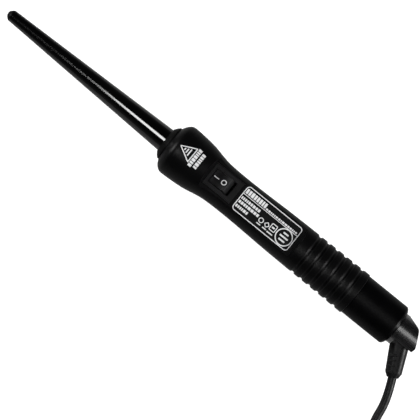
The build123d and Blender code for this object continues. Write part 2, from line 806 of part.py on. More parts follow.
def swivel_cap():
    """Both halves of the cap together, in the cap's own frame."""
    neck = rod(NECK_START, CAP_FRONT, NECK_RADIUS)
    groove_end = RETAINER_START + RETAINER_THICKNESS + 0.05
    neck -= tube(RETAINER_START - 0.05, groove_end, NECK_RADIUS + 1, GROOVE_FLOOR)
    cap = neck + rod(CAP_FRONT, CAP_FRONT + CAP_DISC, CAP_RADIUS) + hood()
    return cap - rod(NECK_START - 1, ELBOW_STATION + 3, NECK_BORE) - relief_socket()


def strain_relief():
    """The flattened boot moulded on the cord: a wide root, a taper with slots and a short nose."""
    width, thickness = RELIEF_ROOT
    root = block(RELIEF_ROOT_START, RELIEF_ROOT_END, width, -thickness / 2, thickness / 2)
    taper_start = RELIEF_ROOT_END + RELIEF_STEM
    stem = extrude(Plane.YZ.offset(RELIEF_ROOT_END) * SlotOverall(RELIEF_WIDTH, RELIEF_THICKNESS),
                   amount=RELIEF_STEM)
    wide = Plane.YZ.offset(taper_start) * SlotOverall(RELIEF_WIDTH, RELIEF_THICKNESS)
    narrow = Plane.YZ.offset(RELIEF_END - RELIEF_NOSE) * SlotOverall(RELIEF_TIP_WIDTH, RELIEF_TIP_THICKNESS)
    end = Plane.YZ.offset(RELIEF_END) * SlotOverall(RELIEF_NOSE_WIDTH, RELIEF_NOSE_THICKNESS)
    boot = loft([wide, narrow])
    nose = loft([narrow, end])
    return EXIT * (root + stem + boot + nose - relief_slots())


def relief_slots():
    """On both faces, a row of slots on one side that lets the boot bend, and a line along the other."""
    length, width = RELIEF_SLOT
    line_width, line_length = RELIEF_LINE
    line_middle = RELIEF_ROOT_END + 0.5 * line_length
    slots = Part()
    for side in (1, -1):
        middle = side * (RELIEF_SLOT_FLOOR + 2)
        for index in range(RELIEF_SLOTS):
            along = RELIEF_SLOT_FIRST + RELIEF_SLOT_PITCH * index
            slots += Pos(along, RELIEF_SLOT_MIDDLE, middle) * Box(length, width, 4)
        slots += Pos(line_middle, 1.6, middle + 1.1) * Box(line_length, line_width, 4)
    return slots


def cord_cores():
    """The cord's two cores, from the slip rings to the strain relief's root."""
    cores = Part()
    elbow = Pos(ELBOW_STATION, 0, 0) * Rot(0, 0, -EXIT_ANGLE)
    for side in (1, -1):
        height = side * CORE_SPACING
        end = elbow * Pos(RELIEF_ROOT_START, 0, height)
        cores += wire([
            (NECK_START, 0, height),
            (ELBOW_STATION - 6, 0, height),
            (ELBOW_STATION - 1.4, -0.3, height),
            tuple(end.position),
        ], CORE_RADIUS, 2.0)
    return CAP * cores


# ---- Cord and plug, in the part's own frame ----

def corner_radii(points):
    """The largest smooth arc at each corner: 0.45 of the shorter run over tan of half the turn."""
    spots = [Vector(*point) for point in points]
    radii = []
    for before, at, after in zip(spots, spots[1:], spots[2:]):
        turn = (at - before).get_angle(after - at)
        shorter = min((at - before).length, (after - at).length)
        radii.append(0.45 * shorter / tan(radians(turn) / 2))
    return radii


def cord_piece(name, points):
    """A round cord along the points, with its radii and volume printed."""
    radii = corner_radii(points)
    path = FilletPolyline(*points, radius=radii)
    solid = sweep((path ^ 0) * Circle(CORD_RADIUS), path)
    expected = pi * CORD_RADIUS ** 2 * path.length
    print(name, "radii", [round(radius, 1) for radius in radii], "length", round(path.length, 1),
          "volume", round(solid.volume, 1), "of", round(expected, 1))
    return solid


def coil_section():
    """The coil's rounded section, 3 turns wide."""
    width = 2 * (TURN_PITCH + CORD_RADIUS)
    height = COIL_TOP - COIL_BOTTOM
    return Pos(COIL_RADIUS, (COIL_TOP + COIL_BOTTOM) / 2) * RectangleRounded(width, height, CORD_RADIUS)


def tie_ring():
    """The strap round the coil's section at its own angle, with an inside that the coil fits."""
    width = 2 * (TURN_PITCH + CORD_RADIUS + TIE_THICKNESS) - TIE_SQUEEZE
    outside = RectangleRounded(width, COIL_TOP - 0.1, CORD_RADIUS + 0.4)
    return across_coil(outside - tie_inside(0))


def tie_inside(slack):
    """The strap's inside outline, made smaller all round by some slack."""
    width = 2 * (TURN_PITCH + CORD_RADIUS) - TIE_SQUEEZE
    height = COIL_TOP - 2 * TIE_THICKNESS - 0.1
    return RectangleRounded(width - 2 * slack, height - 2 * slack, CORD_RADIUS - 0.4)


def across_coil(section):
    """A flat section of the coil's strap, given its width and its place."""
    placed = Plane.XZ * Pos(COIL_RADIUS, COIL_TOP / 2 + 0.05) * section
    return Rot(0, 0, TIE_ANGLE) * extrude(placed, amount=TIE_WIDTH / 2, both=True)


def tie_room():
    """The coil is pulled in under the strap: what the strap takes off its section."""
    return across_coil(Rectangle(40, 40) - tie_inside(SLIP_GAP))


def cord_coil():
    ring = revolve(Plane.XZ * coil_section(), Axis.Z)
    return ring - tie_room()


def plug_frame():
    """The plug's own frame: X across, Y towards the pins, at the end of the cord."""
    x, y, z = CORD_TAIL[-1]
    return COIL * Pos(x, y, z)


def plug_body():
    """The moulded body with a waist for the fingers, and its ribbed strain relief."""
    start = PLUG_RELIEF_LENGTH
    end = start + PLUG_LENGTH
    shoulder = start + PLUG_SHOULDER
    waist = start + PLUG_WAIST
    half = PLUG_WIDTH / 2
    rear = PLUG_REAR_WIDTH / 2
    outline = make_face(
        Spline((rear, start), (rear + 4.0, waist), (half, shoulder))
        + Polyline((half, shoulder), (half, end), (-half, end), (-half, shoulder))
        + Spline((-half, shoulder), (-rear - 4.0, waist), (-rear, start))
        + Line((-rear, start), (rear, start)))
    body = extrude(outline, amount=PLUG_THICKNESS / 2, both=True)
    levels = body.edges().group_by(Axis.Z)
    body = fillet(levels[-1] + levels[0], PLUG_ROUND)
    return plug_frame() * (body + plug_relief(start + 0.5))


def plug_relief(length):
    """The plug's tapered strain relief, with grooves that let it bend."""
    tip, root = PLUG_RELIEF_RADII
    relief = loft([Plane.XZ * Circle(tip), Pos(0, length, 0) * (Plane.XZ * Circle(root))])
    for index in range(PLUG_GROOVES):
        middle = PLUG_GROOVE_FIRST + PLUG_GROOVE_PITCH * index
        ring = Cylinder(9, PLUG_GROOVE_WIDTH) - Cylinder(CORD_RADIUS + 0.9, PLUG_GROOVE_WIDTH)
        relief -= Pos(0, middle, 0) * Rot(90, 0, 0) * ring
    return relief


def pin_place(side):
    end = PLUG_RELIEF_LENGTH + PLUG_LENGTH
    return plug_frame() * Pos(side * PIN_SPACING / 2, end, 0) * Rot(-90, 0, 0)


def plug_pins():
    """Two round pins with domed ends."""
    bare = PIN_LENGTH - PIN_SLEEVE_LENGTH
    pins = Part()
    for side in (1, -1):
        pin = Pos(0, 0, PIN_SLEEVE_LENGTH + bare / 2) * Cylinder(PIN_RADIUS, bare)
        pin = fillet(pin.edges().sort_by(Axis.Z)[-1], PIN_ROUND)
        pins += pin_place(side) * pin
    return pins


def pin_sleeves():
    """The insulating sleeves on the pins' inner halves."""
    sleeve = Pos(0, 0, PIN_SLEEVE_LENGTH / 2) * Cylinder(PIN_SLEEVE_RADIUS, PIN_SLEEVE_LENGTH)
    return Part() + [pin_place(side) * sleeve for side in (1, -1)]


# ---- Write every node ----

spreader = heat_spreader()
cap = swivel_cap()
in_row = Pos(0, 0, 0)

save("barrel_shell", barrel_shell())
save("barrel_tip_plug", barrel_tip_plug())
save("heat_spreader_upper", spreader)
save("heat_spreader_lower", Rot(180, 0, 0) * spreader)
save("ptc_heater_stones", ptc_heater_stones())
save("electrode_plates", electrode_plates())
save("insulation_film", insulation_film())
save("thermal_fuse", thermal_fuse())
save("barrel_flange", barrel_flange())
save("heat_insulator", heat_insulator())
save("barrel_collar", barrel_collar())
save("handle_upper_shell", handle_upper_shell())
save("handle_lower_shell", handle_lower_shell())
save("handle_screws", handle_screws())
save("rear_sleeve", rear_sleeve())
save("rating_label", rating_label())
save("switch_housing", switch_housing())
save("rocker_button", rocker_button())
save("rocker_plunger", rocker_plunger())
save("plunger_spring", plunger_spring())
save("contact_lever", contact_lever())
save("switch_terminals", switch_terminals())
save("spade_connectors", spade_connectors())
save("wire_supply_live", wire_supply_live())
save("wire_switched_live", wire_switched_live())
save("wire_neutral", wire_neutral())
save("brush_holder", brush_holder())
save("brush_contacts", brush_contacts())
save("slip_rings", slip_rings())
save("slip_ring_carrier", slip_ring_carrier())
save("swivel_retainer", CAP * swivel_retainer())
save("swivel_cap_upper", CAP * upper_half(cap))
save("swivel_cap_lower", CAP * lower_half(cap))
save("strain_relief", strain_relief())
save("cord_cores", cord_cores())
save("cord_tube", cord_piece("cord_tube", CORD_ROUTE), in_row)
save("cord_coil", cord_coil(), COIL)
save("cord_tie", tie_ring(), COIL)
save("cord_tail", cord_piece("cord_tail", CORD_TAIL), COIL)
save("plug_body", plug_body(), in_row)
save("plug_pins", plug_pins(), in_row)
save("pin_sleeves", pin_sleeves(), in_row)
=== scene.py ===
import json
import random
from math import cos, pi, radians, sin, sqrt

import bpy
import bmesh
from mathutils import Vector, Matrix
from mathutils.bvhtree import BVHTree


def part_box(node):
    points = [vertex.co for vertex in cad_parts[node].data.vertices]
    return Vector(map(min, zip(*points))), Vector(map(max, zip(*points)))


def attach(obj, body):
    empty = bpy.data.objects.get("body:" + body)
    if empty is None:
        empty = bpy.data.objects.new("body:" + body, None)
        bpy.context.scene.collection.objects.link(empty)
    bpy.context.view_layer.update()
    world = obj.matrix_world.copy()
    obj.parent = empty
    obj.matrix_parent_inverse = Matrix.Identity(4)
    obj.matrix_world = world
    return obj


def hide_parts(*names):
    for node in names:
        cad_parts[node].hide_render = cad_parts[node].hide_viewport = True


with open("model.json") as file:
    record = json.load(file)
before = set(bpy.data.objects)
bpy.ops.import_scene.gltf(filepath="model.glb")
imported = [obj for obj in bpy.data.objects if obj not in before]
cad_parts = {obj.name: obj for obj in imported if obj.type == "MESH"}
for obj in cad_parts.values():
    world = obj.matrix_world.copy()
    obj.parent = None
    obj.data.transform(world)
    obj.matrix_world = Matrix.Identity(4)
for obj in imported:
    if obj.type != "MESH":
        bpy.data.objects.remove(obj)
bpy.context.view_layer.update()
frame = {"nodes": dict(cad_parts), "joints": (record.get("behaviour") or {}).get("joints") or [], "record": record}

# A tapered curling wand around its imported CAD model, in metres and in the part's own frame: +X runs along
# the wand from the barrel's tip to the cord, +Z comes up out of the switch panel, and the floor is at Z = 0.

random.seed(11)

AXIS_HEIGHT = 0.0204

# ---- Camera: nearly overhead, leaning a little towards the near side and the cord end ----

CAMERA_TARGET = Vector((0.0131, -0.0192, AXIS_HEIGHT))
CAMERA_DISTANCE = 1.2
CAMERA_LEAN_NEAR = radians(10.1)
CAMERA_LEAN_REAR = radians(0.4)
CAMERA_ROLL = radians(39.49)
CAMERA_LENS = 143.8


def make_camera():
    """The wand's +X runs to the lower right of the frame, by the roll angle below the horizontal."""
    back = Vector((sin(CAMERA_LEAN_REAR), -sin(CAMERA_LEAN_NEAR), cos(CAMERA_LEAN_NEAR))).normalized()
    right = Vector((cos(CAMERA_ROLL), sin(CAMERA_ROLL), 0))
    right = (right - right.dot(back) * back).normalized()
    up = back.cross(right)
    data = bpy.data.cameras.new("camera")
    data.lens = CAMERA_LENS
    data.sensor_width = 36
    data.clip_start = 0.01
    data.clip_end = 50
    camera = bpy.data.objects.new("camera", data)
    turn = Matrix((right, up, back)).transposed().to_4x4()
    camera.matrix_world = Matrix.Translation(CAMERA_TARGET + CAMERA_DISTANCE * back) @ turn
    bpy.context.scene.collection.objects.link(camera)
    bpy.context.scene.camera = camera


make_camera()

# ---- Cord: one spline from the strain relief along the floor, round the coil and up to the plug ----

CORD_RADIUS = 0.00325
CORD_ROUTE = (
    (0.18890, -0.02659, 0.01475),
    (0.19752, -0.04314, 0.01123),
    (0.20005, -0.06230, 0.00680),
    (0.20805, -0.08150, 0.00385),
    (0.22280, -0.09540, 0.00330),
    (0.24320, -0.10260, 0.00330),
    (0.26300, -0.10460, 0.00330),
)
COIL_CENTRE = Vector((0.27685, -0.060, 0))
COIL_RADIUS = 0.037
COIL_TOP = 0.0239
COIL_LAYERS = 4
TURN_PITCH = 0.00665
LAYER_PITCH = 0.00575
FIRST_LAYER = 0.0033
COIL_START = radians(-97)
COIL_END = radians(-100)
POINTS_PER_TURN = 20
CROSSOVER = 0.25
TIE_ANGLE = radians(135)
TIE_WIDTH = 0.012
TIE_THICKNESS = 0.0008
TIE_REACH = radians(26)
TIE_SQUEEZE_HEIGHT = 0.105
TIE_SQUEEZE_WIDTH = 0.05
# From the top of the coil to the inside of the plug's strain relief, counted from the coil's centre
CORD_TAIL = (
    (0.00150, -0.04160, 0.02060),
    (0.01480, -0.04020, 0.02260),
    (0.02630, -0.03240, 0.02660),
    (0.03160, -0.02160, 0.03020),
    (0.03200, -0.00600, 0.03100),
)


def smooth(share):
    """A soft step from 0 to 1."""
    share = min(max(share, 0.0), 1.0)
    return share * share * (3 - 2 * share)


def coil_slots():
    """(radius, height) of each turn in winding order: layers of three turns and of two by turns."""
    slots = []
    for layer in range(COIL_LAYERS):
        height = FIRST_LAYER + layer * LAYER_PITCH
        if layer % 2 == 0:
            offsets = (1.0, 0.0, -1.0)
        else:
            offsets = (-0.5, 0.5)
        for offset in offsets:
            slots.append((COIL_RADIUS + offset * TURN_PITCH, height))
    return slots


def coil_points():
    """The turns' control points. Each turn keeps its slot, then crosses over to the next one."""
    slots = coil_slots()
    slots.append(slots[-1])
    total = COIL_END - COIL_START + (len(slots) - 1) * 2 * pi
    count = round(total / (2 * pi) * POINTS_PER_TURN)
    reach_out = 1 / cos(pi / POINTS_PER_TURN)
    points = []
    for index in range(count + 1):
        turned = total * index / count
        turn = min(int(turned / (2 * pi)), len(slots) - 2)
        part = turned / (2 * pi) - turn
        here, there = slots[turn], slots[turn + 1]
        climbs = there[1] > here[1] + LAYER_PITCH / 2
        start = 1 - 2 * CROSSOVER if climbs else 1 - CROSSOVER
        moved = smooth((part - start) / CROSSOVER)
        radius = here[0] + moved * (there[0] - here[0])
        height = here[1] + moved * (there[1] - here[1])
        angle = COIL_START + turned
        radius, height = under_tie(angle, radius, height)
        points.append(COIL_CENTRE + Vector((
            radius * reach_out * cos(angle), radius * reach_out * sin(angle), height)))
    return points


def under_tie(angle, radius, height):
    """The strap squeezes the turns together a little where it goes round them."""
    away = abs((angle - TIE_ANGLE + pi) % (2 * pi) - pi)
    squeeze = smooth(1 - (away - TIE_REACH / 3) / TIE_REACH)
    middle = COIL_TOP / 2
    height = middle + (height - middle) * (1 - TIE_SQUEEZE_HEIGHT * squeeze)
    radius = COIL_RADIUS + (radius - COIL_RADIUS) * (1 - TIE_SQUEEZE_WIDTH * squeeze)
    return radius, height


def cord():
    """The cord as one curve, in place of the CAD tube, coil and tail."""
    points = [Vector(point) for point in CORD_ROUTE]
    points += coil_points()
    points += [COIL_CENTRE + Vector(point) for point in CORD_TAIL]
    curve = bpy.data.curves.new("cord", "CURVE")
    curve.dimensions = "3D"
    # Each point carries the cord's radius, because a curve's box is grown by its points' own radius
    curve.bevel_depth = 1.0
    curve.bevel_resolution = 6
    curve.resolution_u = 6
    curve.use_fill_caps = True
    spline = curve.splines.new("NURBS")
    spline.points.add(len(points) - 1)
    for spot, point in zip(spline.points, points):
        spot.co = (*point, 1)
        spot.radius = CORD_RADIUS
    spline.order_u = 3
    spline.use_endpoint_u = True
    piece = bpy.data.objects.new("cord", curve)
    bpy.context.scene.collection.objects.link(piece)
    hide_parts("cord_tube", "cord_coil", "cord_tail")
    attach(piece, "cord_swivel")
    return piece


# ---- Materials: every one is built from nodes, with its grain and its changes of gloss ----

class Look:
    """A material under construction: its shader's constant values, then what varies over the surface."""

    def __init__(self, name, colour, roughness, **sockets):
        self.material = bpy.data.materials.new(name)
        self.material.use_nodes = True
        self.tree = self.material.node_tree
        self.shader = self.tree.nodes["Principled BSDF"]
        self.skin = None
        self.shader.inputs["Base Color"].default_value = (*colour, 1)
        self.shader.inputs["Roughness"].default_value = roughness
        for socket, value in sockets.items():
            self.shader.inputs[socket.replace("_", " ")].default_value = value
        self.place = self.add("ShaderNodeTexCoord").outputs["Object"]

    def add(self, kind, **inputs):
        """A new node, with values or links for its inputs."""
        node = self.tree.nodes.new(kind)
        for name, value in inputs.items():
            socket = node.inputs[name.replace("_", " ")]
            if isinstance(value, bpy.types.NodeSocket):
                self.tree.links.new(value, socket)
            else:
                socket.default_value = value
        return node

    def stretched(self, scale):
        """The object's own place in metres, scaled along each axis."""
        return self.add("ShaderNodeMapping", Vector=self.place, Scale=scale).outputs["Vector"]

    def noise(self, scale, detail=3.0, stretch=(1, 1, 1), roughness=0.5):
        """Cloudy noise. The scale is in repeats per metre."""
        node = self.add("ShaderNodeTexNoise", Vector=self.stretched(stretch), Scale=scale,
                        Detail=detail, Roughness=roughness)
        return node.outputs["Fac"]

    def cells(self, scale, stretch=(1, 1, 1)):
        """Distance to the nearest of many scattered points, for pebbled grain."""
        node = self.add("ShaderNodeTexVoronoi", Vector=self.stretched(stretch), Scale=scale)
        return node.outputs["Distance"]

    def waves(self, scale, direction="X", distortion=0.0):
        """Even bands across one axis."""
        node = self.add("ShaderNodeTexWave", Vector=self.place, Scale=scale, Distortion=distortion)
        node.bands_direction = direction
        return node.outputs["Fac"]

    def between(self, value, low, high, start=0.3, end=0.7):
        """A value from start to end, spread from low to high."""
        node = self.add("ShaderNodeMapRange", Value=value, From_Min=start, From_Max=end,
                        To_Min=low, To_Max=high)
        return node.outputs["Result"]

    def maths(self, operation, first, second):
        """The result of an operation on two values, each a number or a socket."""
        node = self.tree.nodes.new("ShaderNodeMath")
        node.operation = operation
        for socket, value in zip(node.inputs, (first, second)):
            if isinstance(value, bpy.types.NodeSocket):
                self.tree.links.new(value, socket)
            else:
                socket.default_value = value
        return node.outputs[0]

    def mix(self, share, first, second):
        """A colour between two others, each a colour or a socket."""
        node = self.tree.nodes.new("ShaderNodeMix")
        node.data_type = "RGBA"
        colour_inputs = [socket for socket in node.inputs if socket.type == "RGBA"]
        self.tree.links.new(share, node.inputs["Factor"])
        for socket, value in zip(colour_inputs, (first, second)):
            if isinstance(value, bpy.types.NodeSocket):
                self.tree.links.new(value, socket)
            else:
                socket.default_value = (*value, 1)
        return [socket for socket in node.outputs if socket.type == "RGBA"][0]

    def colours(self, share, first, second):
        """Colour the surface from first to second by a share."""
        self.tree.links.new(self.mix(share, first, second), self.shader.inputs["Base Color"])

    def rough(self, value):
        """Let the roughness follow a value."""
        self.tree.links.new(value, self.shader.inputs["Roughness"])

    def bump(self, height, depth):
        """Raise the skin so far by a height, whose full range is depth metres deep."""
        node = self.add("ShaderNodeBump", Height=height, Distance=depth, Strength=1.0)
        if self.skin is not None:
            self.tree.links.new(self.skin, node.inputs["Normal"])
        self.skin = node.outputs["Normal"]
        self.tree.links.new(self.skin, self.shader.inputs["Normal"])


# The grip's skin turns from groove to crest between these distances from the wand's axis
CREST_START = 0.0158
CREST_TOP = 0.0167


def around_axis(look):
    """The distance from the wand's axis, in metres."""
    parts = look.add("ShaderNodeSeparateXYZ", Vector=look.place)
    up = look.maths("SUBTRACT", parts.outputs["Z"], AXIS_HEIGHT)
    squares = look.maths("ADD", look.maths("MULTIPLY", parts.outputs["Y"], parts.outputs["Y"]),
                         look.maths("MULTIPLY", up, up))
    return look.maths("SQRT", squares, 0.0)


def barrel_enamel():
    """Gloss black enamel: a faint orange peel, and rubbed rings where hair is wound."""
    look = Look("barrel_enamel", (0.0008, 0.0008, 0.0009), 0.14, Specular_IOR_Level=0.45)
    rubbed = look.noise(1.0, 4.0, (900, 40, 40))
    look.rough(look.between(rubbed, 0.08, 0.14))
    look.colours(look.between(look.noise(60, 2.0), 0, 1), (0.0006, 0.0006, 0.0007), (0.0012, 0.0012, 0.0012))
    look.bump(look.noise(600, 2.0), 0.0000012)
    return look.material


def tip_satin():
    """The heat-resistant skin of the barrel's closed end, held while hair is wound: satin, not gloss."""
    look = Look("tip_satin", (0.0008, 0.0008, 0.0009), 0.4, Specular_IOR_Level=0.06)
    look.rough(look.between(look.noise(300, 3.0), 0.34, 0.48))
    look.colours(look.between(look.noise(120, 2.0), 0, 1), (0.0006, 0.0006, 0.0007), (0.0013, 0.0013, 0.0013))
    look.bump(look.noise(3200, 2.0), 0.000006)
    return look.material


def spark_grain(look):
    """The fine spark-eroded grain that the handle and its rear sleeve share."""
    look.bump(look.cells(2600), 0.000012)
    look.bump(look.noise(5200, 2.0), 0.000006)


def handle_soft_touch():
    """Satin moulding with a fine spark-eroded grain, rubbed smoother on the crests of the grip."""
    look = Look("handle_soft_touch", (0.0014, 0.0014, 0.0015), 0.36, Specular_IOR_Level=0.06)
    crest = look.between(around_axis(look), 0.0, 1.0, CREST_START, CREST_TOP)
    patchy = look.between(look.noise(70, 4.0), 0.0, 1.0)
    handled = look.maths("MULTIPLY", crest, patchy)
    look.rough(look.between(handled, 0.39, 0.31, 0.0, 1.0))
    look.colours(look.between(look.noise(45, 3.0), 0, 1), (0.0010, 0.0010, 0.0011), (0.0019, 0.0019, 0.0020))
    spark_grain(look)
    return look.material


def collar_black():
    """Heat-resistant moulding, a little matter than the handle, with turned lines."""
    look = Look("collar_black", (0.0025, 0.0025, 0.0026), 0.42, Specular_IOR_Level=0.02)
    look.rough(look.between(look.noise(220, 3.0), 0.34, 0.5))
    look.colours(look.between(look.noise(90, 2.0), 0, 1), (0.002, 0.002, 0.002), (0.0036, 0.0036, 0.0036))
    look.bump(look.noise(3000, 2.0), 0.000008)
    look.bump(look.waves(900, "X", 0.4), 0.000003)
    return look.material


def sleeve_satin():
    """The rear sleeve's skin: as satin as the handle, with the handle's black darkened as painted shade."""
    # Painted shade: the base colour and its mottle are darker than the handle's, standing for less light on the
    # sleeve
    look = Look("sleeve_satin", (0.0005, 0.0005, 0.0006), 0.36, Specular_IOR_Level=0.05)
    look.rough(look.between(look.noise(70, 4.0), 0.32, 0.4))
    look.colours(look.between(look.noise(45, 3.0), 0, 1), (0.0003, 0.0003, 0.0004), (0.0008, 0.0008, 0.0009))
    spark_grain(look)
    return look.material


def gloss_black():
    """Polished moulding, with small hairline scratches."""
    look = Look("gloss_black", (0.002, 0.002, 0.0022), 0.24, Specular_IOR_Level=1.0, Coat_Weight=0.6,
                Coat_Roughness=0.2)
    scratches = look.noise(1.0, 5.0, (300, 2500, 900))
    look.rough(look.between(scratches, 0.2, 0.32))
    look.colours(look.between(look.noise(120, 2.0), 0, 1), (0.0016, 0.0016, 0.0018), (0.0030, 0.0030, 0.0033))
    look.bump(look.noise(900, 2.0), 0.000006)
    return look.material


def switch_black():
    """Nylon switch moulding with a fine matt grain."""
    look = Look("switch_black", (0.0026, 0.0026, 0.0028), 0.4, Specular_IOR_Level=0.14)
    look.rough(look.between(look.noise(600, 3.0), 0.33, 0.48))
    look.colours(look.between(look.noise(200, 3.0), 0, 1), (0.0020, 0.0020, 0.0022), (0.0034, 0.0034, 0.0037))
    look.bump(look.cells(4200), 0.000008)
    return look.material


def label_film():
    """Thin black film, nearly smooth, with a faint pebble from its glue."""
    look = Look("label_film", (0.0016, 0.0016, 0.0017), 0.38, Specular_IOR_Level=0.1)
    look.rough(look.between(look.noise(260, 3.0), 0.32, 0.46))
    look.colours(look.between(look.noise(90, 2.0), 0, 1), (0.0012, 0.0012, 0.0013), (0.0021, 0.0021, 0.0022))
    look.bump(look.noise(1500, 3.0), 0.000006)
    return look.material


def print_ink():
    """White print, a little thin in places."""
    look = Look("print_ink", (0.45, 0.455, 0.46), 0.5)
    thin = look.between(look.noise(2500, 3.0), 0, 1, 0.25, 0.5)
    look.colours(thin, (0.26, 0.265, 0.27), (0.52, 0.525, 0.53))
    look.rough(look.between(look.noise(1800, 2.0), 0.42, 0.58))
    look.bump(look.noise(6000, 2.0), 0.000003)
    return look.material


def cord_pvc():
    """Soft black PVC whose skin shows the twisted cores under it as a faint ripple."""
    look = Look("cord_pvc", (0.002, 0.002, 0.0022), 0.42, Specular_IOR_Level=0.12)
    look.rough(look.between(look.noise(400, 3.0), 0.34, 0.5))
    look.colours(look.between(look.noise(150, 3.0), 0, 1), (0.0015, 0.0015, 0.0017), (0.0030, 0.0030, 0.0032))
    look.bump(look.noise(160, 1.0), 0.0001)
    look.bump(look.noise(2600, 3.0), 0.00001)
    return look.material


def plug_pvc():
    """Moulded PVC with a grained skin and dusty, matt patches."""
    look = Look("plug_pvc", (0.004, 0.004, 0.0042), 0.46, Specular_IOR_Level=0.25)
    look.rough(look.between(look.noise(180, 4.0), 0.4, 0.56))
    look.colours(look.between(look.noise(110, 4.0), 0, 1), (0.0030, 0.0030, 0.0032), (0.0058, 0.0057, 0.0057))
    look.bump(look.cells(1500), 0.00002)
    look.bump(look.noise(4000, 2.0), 0.000008)
    return look.material


def tie_strap():
    """Woven strap of hooks and loops: two crossing sets of threads with fuzz over them."""
    look = Look("tie_strap", (0.006, 0.006, 0.007), 0.85, Sheen_Weight=0.15, Sheen_Roughness=0.5)
    across = look.waves(420, "DIAGONAL", 0.6)
    along = look.waves(420, "Z", 0.6)
    threads = look.maths("MAXIMUM", across, along)
    look.colours(threads, (0.003, 0.003, 0.0035), (0.011, 0.011, 0.013))
    look.rough(look.between(look.noise(700, 3.0), 0.78, 0.95))
    look.bump(threads, 0.00012)
    look.bump(look.noise(3500, 4.0), 0.00006)
    return look.material


def metal(name, dark, light, roughness, grain, stretch):
    """Bare or plated metal with brushed grain and uneven polish."""
    look = Look(name, light, roughness, Metallic=1.0)
    brushed = look.noise(1.0, 4.0, stretch)
    look.rough(look.between(brushed, roughness * 0.75, roughness * 1.4))
    look.colours(look.between(look.noise(grain, 4.0), 0, 1), dark, light)
    look.bump(brushed, 0.000006)
    return look.material


def moulded(name, dark, light, roughness, grain, depth):
    """A plain moulded, sintered or extruded material with mottled colour and a pebbled skin."""
    look = Look(name, light, roughness)
    look.rough(look.between(look.noise(grain * 0.4, 3.0), roughness * 0.85, min(1.0, roughness * 1.2)))
    look.colours(look.between(look.noise(grain * 0.2, 4.0), 0, 1), dark, light)
    look.bump(look.noise(grain, 3.0), depth)
    return look.material


def film_amber():
    """Clear amber film with a wavy, wound-on surface."""
    look = Look("film_amber", (0.5, 0.22, 0.03), 0.25, Transmission_Weight=0.3)
    look.rough(look.between(look.noise(300, 2.0), 0.18, 0.32))
    look.colours(look.between(look.noise(120, 3.0), 0, 1), (0.42, 0.17, 0.02), (0.62, 0.3, 0.05))
    look.bump(look.waves(160, "X", 1.5), 0.00003)
    return look.material


def make_looks():
    """Every material, by the name of its slot in the record."""
    looks = {maker.__name__: maker() for maker in (
        barrel_enamel, handle_soft_touch, collar_black, gloss_black, switch_black, label_film,
        cord_pvc, plug_pvc, tie_strap, film_amber)}
    looks["nickel"] = metal("nickel", (0.55, 0.54, 0.51), (0.74, 0.73, 0.70), 0.2, 500, (2500, 2500, 120))
    looks["steel"] = metal("steel", (0.38, 0.39, 0.40), (0.58, 0.58, 0.60), 0.34, 700, (900, 900, 900))
    looks["aluminium"] = metal("aluminium", (0.58, 0.58, 0.59), (0.76, 0.76, 0.78), 0.36, 300,
                               (60, 2500, 2500))
    looks["brass"] = metal("brass", (0.46, 0.32, 0.13), (0.72, 0.55, 0.27), 0.3, 400, (200, 2200, 900))
    looks["stone_ceramic"] = moulded("stone_ceramic", (0.20, 0.17, 0.15), (0.36, 0.31, 0.27), 0.8, 2600,
                                     0.00003)
    looks["mica_white"] = moulded("mica_white", (0.62, 0.59, 0.52), (0.80, 0.77, 0.70), 0.6, 1400, 0.00003)
    looks["nylon_white"] = moulded("nylon_white", (0.68, 0.67, 0.62), (0.80, 0.79, 0.76), 0.42, 1800, 0.00001)
    looks["fuse_case"] = moulded("fuse_case", (0.60, 0.56, 0.45), (0.78, 0.75, 0.65), 0.7, 3200, 0.00005)
    looks["wire_red"] = moulded("wire_red", (0.34, 0.02, 0.015), (0.50, 0.05, 0.035), 0.5, 1600, 0.00001)
    looks["wire_blue"] = moulded("wire_blue", (0.02, 0.05, 0.28), (0.05, 0.10, 0.44), 0.5, 1600, 0.00001)
    return looks


def dress(piece, material):
    """Give a piece one material all over."""
    piece.data.materials.clear()
    piece.data.materials.append(material)


LOOKS = make_looks()
INK = print_ink()
for subpart in frame["record"]["subparts"]:
    dress(frame["nodes"][subpart["node"]], LOOKS[subpart["material_slot"]])
# Two nodes look a little different from the rest of their slot; the rear sleeve's darker black is painted shade
dress(frame["nodes"]["barrel_tip_plug"], tip_satin())
dress(frame["nodes"]["rear_sleeve"], sleeve_satin())

# ---- Printed marks: thin strokes laid on the surface below them ----

INK_THICKNESS = 0.00003
STROKE_STEP = 0.0006
RAY_HEIGHT = 0.06

# The label's outline and its rule, then its rows of dashes. A row is given by its start, its end and its
# distance from the outline's top, the height of its dashes, their shortest and longest length, and their gap.
# A row without an end runs to the outline's right side.
LABEL_INSET = 0.0005
LABEL_CORNER = 0.0023
OUTLINE_WIDTH = 0.0006
RULE_DROP = 0.0066
RULE_INSET = 0.0004
RULE_WIDTH = 0.0005
LABEL_ROWS = (
    (0.0010, 0.0192, 0.0037, 0.0038, 0.0012, 0.0022, 0.0006),
    (0.0198, None, 0.0052, 0.0013, 0.0008, 0.0020, 0.0005),
    (0.0010, 0.0186, 0.0096, 0.0021, 0.0009, 0.0022, 0.0005),
    (0.0010, 0.0190, 0.0129, 0.0021, 0.0009, 0.0022, 0.0005),
    (0.0010, 0.0122, 0.0166, 0.0021, 0.0009, 0.0022, 0.0005),
)
ROW_END_MARGIN = 0.0006

